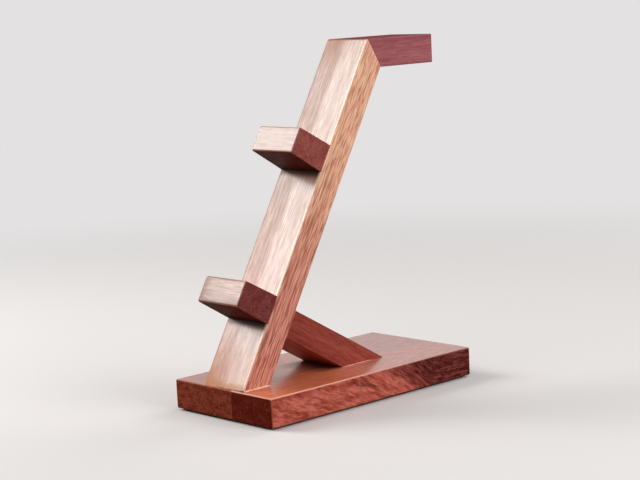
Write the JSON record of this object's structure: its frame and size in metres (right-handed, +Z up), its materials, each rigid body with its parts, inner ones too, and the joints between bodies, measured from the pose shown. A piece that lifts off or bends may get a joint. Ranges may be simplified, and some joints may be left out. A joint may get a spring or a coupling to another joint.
{
  "type": "headphone stand",
  "caption": "Desk stand for headphones: a flat base, a post that leans back to a level arm for the headband, short pegs on its front for the cable, and a sloping brace behind.",
  "frame": {"origin": "on the desk, under the middle of the base", "axes": "+Z up; -Y towards the front, where the pegs point; +X to the stand's right"},
  "size_m": [0.103, 0.2038, 0.256],
  "materials": {
    "base_wood_light": "satin lacquer over reddish-brown hardwood",
    "base_wood_dark": "satin lacquer over darker reddish-brown hardwood",
    "post_wood": "satin lacquer over straight-grained pinkish-brown hardwood",
    "arm_wood": "satin lacquer over dark red-brown hardwood",
    "peg_wood": "satin lacquer over dark red-brown hardwood",
    "brace_wood": "satin lacquer over red-brown hardwood",
    "dowel_beech": "plain turned beech",
    "screw_steel": "zinc plated",
    "felt": "matt dark felt"
  },
  "bodies": {
    "root": {"felt_liner": "felt", "base_left_stave": "base_wood_light", "base_right_stave": "base_wood_dark", "post": "post_wood", "arm": "arm_wood", "upper_peg": "peg_wood", "lower_peg": "peg_wood", "brace": "brace_wood", "mitre_dowel_left": "dowel_beech", "mitre_dowel_right": "dowel_beech", "upper_peg_dowel_left": "dowel_beech", "upper_peg_dowel_right": "dowel_beech", "lower_peg_dowel_left": "dowel_beech", "lower_peg_dowel_right": "dowel_beech", "brace_dowel_left": "dowel_beech", "brace_dowel_right": "dowel_beech", "post_screw_left": "screw_steel", "post_screw_right": "screw_steel", "brace_screw_left": "screw_steel", "brace_screw_right": "screw_steel"}
  },
  "joints": []
}
